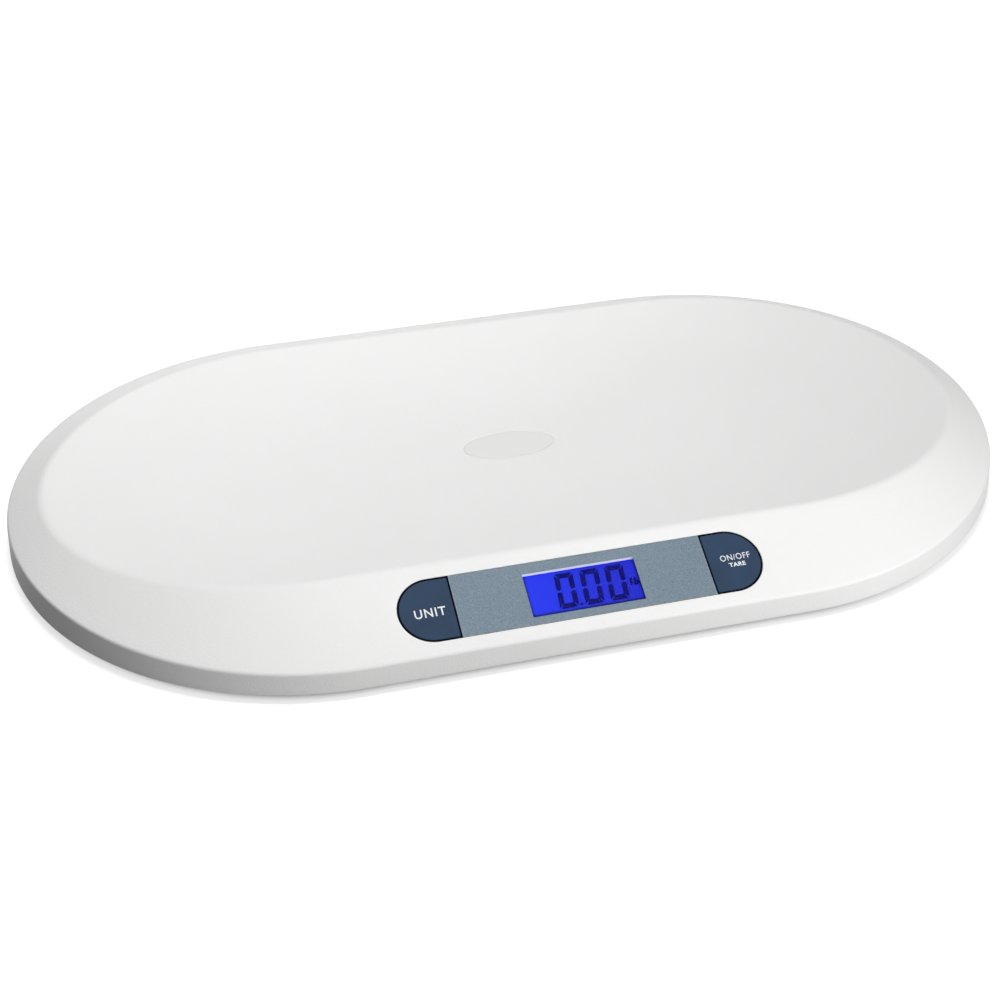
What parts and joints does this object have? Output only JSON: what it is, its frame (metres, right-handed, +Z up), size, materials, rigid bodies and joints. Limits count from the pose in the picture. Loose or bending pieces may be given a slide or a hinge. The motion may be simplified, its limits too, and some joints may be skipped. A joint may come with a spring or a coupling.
{
  "type": "digital baby weighing scale",
  "caption": "Low oval baby scale with a shallow cradle tray, a backlit display and D-shaped keys in the front slope, on load-cell feet.",
  "frame": {"origin": "on the table, under the middle of the scale's length and width", "axes": "+X along the length towards the ON/OFF key, +Y from the panel to the back, +Z up"},
  "size_m": [0.56, 0.33, 0.0372],
  "materials": {
    "shell_white": "fine satin moulding texture",
    "base_white": "satin",
    "badge_grey": "smooth satin inlay, bare",
    "bezel_silver": "silver-grey metallic lacquer",
    "key_slate": "satin",
    "carrier_black": "matte",
    "foam_black": "closed-cell foam",
    "window_clear": "clear acrylic",
    "lcd_blue": "backlit blue liquid crystal display",
    "guide_clear": "frosted acrylic",
    "led_yellow": "moulded",
    "zebra_grey": "layered silicone",
    "board_green": "solder mask",
    "chip_black": "moulded",
    "stem_brown": "moulded",
    "part_tan": "matte",
    "socket_ivory": "moulded",
    "bright_steel": "nickel plated",
    "cell_steel": "ground",
    "gauge_amber": "polyimide film",
    "pad_grey": "matte",
    "sleeve_green": "plain printed sleeve",
    "lead_grey": "matte sleeve",
    "lead_red": "gloss sleeve",
    "lead_black": "gloss sleeve"
  },
  "bodies": {
    "casing": {"tray_shell": "shell_white", "bottom_cover": "base_white", "cover_screws": "bright_steel", "center_badge": "badge_grey", "panel_carrier": "carrier_black", "display_bezel": "bezel_silver", "display_window": "window_clear", "panel_gasket": "foam_black", "lcd_cell": "lcd_blue", "light_guide": "guide_clear", "backlight_leds": "led_yellow", "lcd_holder": "base_white", "zebra_strip": "zebra_grey", "circuit_board": "board_green", "board_screws": "bright_steel", "control_chip": "chip_black", "clock_crystal": "bright_steel", "small_parts": "part_tan", "wire_sockets": "socket_ivory", "unit_switch": "chip_black", "power_switch": "chip_black", "load_cell_front_left": "cell_steel", "load_cell_front_right": "cell_steel", "load_cell_back_left": "cell_steel", "load_cell_back_right": "cell_steel", "cell_holder_front_left": "base_white", "cell_holder_front_right": "base_white", "cell_holder_back_left": "base_white", "cell_holder_back_right": "base_white", "strain_gauges": "gauge_amber", "holder_screws": "bright_steel", "battery_cells": "sleeve_green", "battery_plates": "bright_steel", "battery_springs": "bright_steel", "cell_leads": "lead_grey", "red_lead": "lead_red", "black_lead": "lead_black"},
    "unit_key": {"unit_key": "key_slate"},
    "power_key": {"power_key": "key_slate"},
    "unit_stem": {"unit_stem": "stem_brown"},
    "power_stem": {"power_stem": "stem_brown"},
    "battery_door": {"battery_door": "base_white"},
    "foot_front_left": {"foot_cup_front_left": "base_white", "foot_pad_front_left": "pad_grey"},
    "foot_front_right": {"foot_cup_front_right": "base_white", "foot_pad_front_right": "pad_grey"},
    "foot_back_left": {"foot_cup_back_left": "base_white", "foot_pad_back_left": "pad_grey"},
    "foot_back_right": {"foot_cup_back_right": "base_white", "foot_pad_back_right": "pad_grey"}
  },
  "joints": [
    {"name": "unit_key_press", "type": "slide", "parent": "casing", "child": "unit_key", "axis": [0, 0.4, -0.9165], "range_m": [0, 0.0005], "stiffness_N_per_m": 1200, "springref_m": -0.0008},
    {"name": "power_key_press", "type": "slide", "parent": "casing", "child": "power_key", "axis": [0, 0.4, -0.9165], "range_m": [0, 0.0005], "stiffness_N_per_m": 1200, "springref_m": -0.0008},
    {"name": "unit_stem_press", "type": "slide", "parent": "casing", "child": "unit_stem", "axis": [0, 0.4, -0.9165], "range_m": [0, 0.0005]},
    {"name": "power_stem_press", "type": "slide", "parent": "casing", "child": "power_stem", "axis": [0, 0.4, -0.9165], "range_m": [0, 0.0005]},
    {"name": "battery_door_swing", "type": "hinge", "parent": "casing", "child": "battery_door", "pos_m": [0, 0.0492, 0.0052], "axis": [-1, 0, 0], "range_deg": [0, 70]},
    {"name": "foot_front_left_play", "type": "slide", "parent": "casing", "child": "foot_front_left", "axis": [0, 0, 1], "range_m": [-0.0005, 0]},
    {"name": "foot_front_right_play", "type": "slide", "parent": "casing", "child": "foot_front_right", "axis": [0, 0, 1], "range_m": [-0.0005, 0]},
    {"name": "foot_back_left_play", "type": "slide", "parent": "casing", "child": "foot_back_left", "axis": [0, 0, 1], "range_m": [-0.0005, 0]},
    {"name": "foot_back_right_play", "type": "slide", "parent": "casing", "child": "foot_back_right", "axis": [0, 0, 1], "range_m": [-0.0005, 0]}
  ],
  "couplings": [
    {"joint": "unit_stem_press", "follows": "unit_key_press", "ratio": 1},
    {"joint": "power_stem_press", "follows": "power_key_press", "ratio": 1}
  ]
}
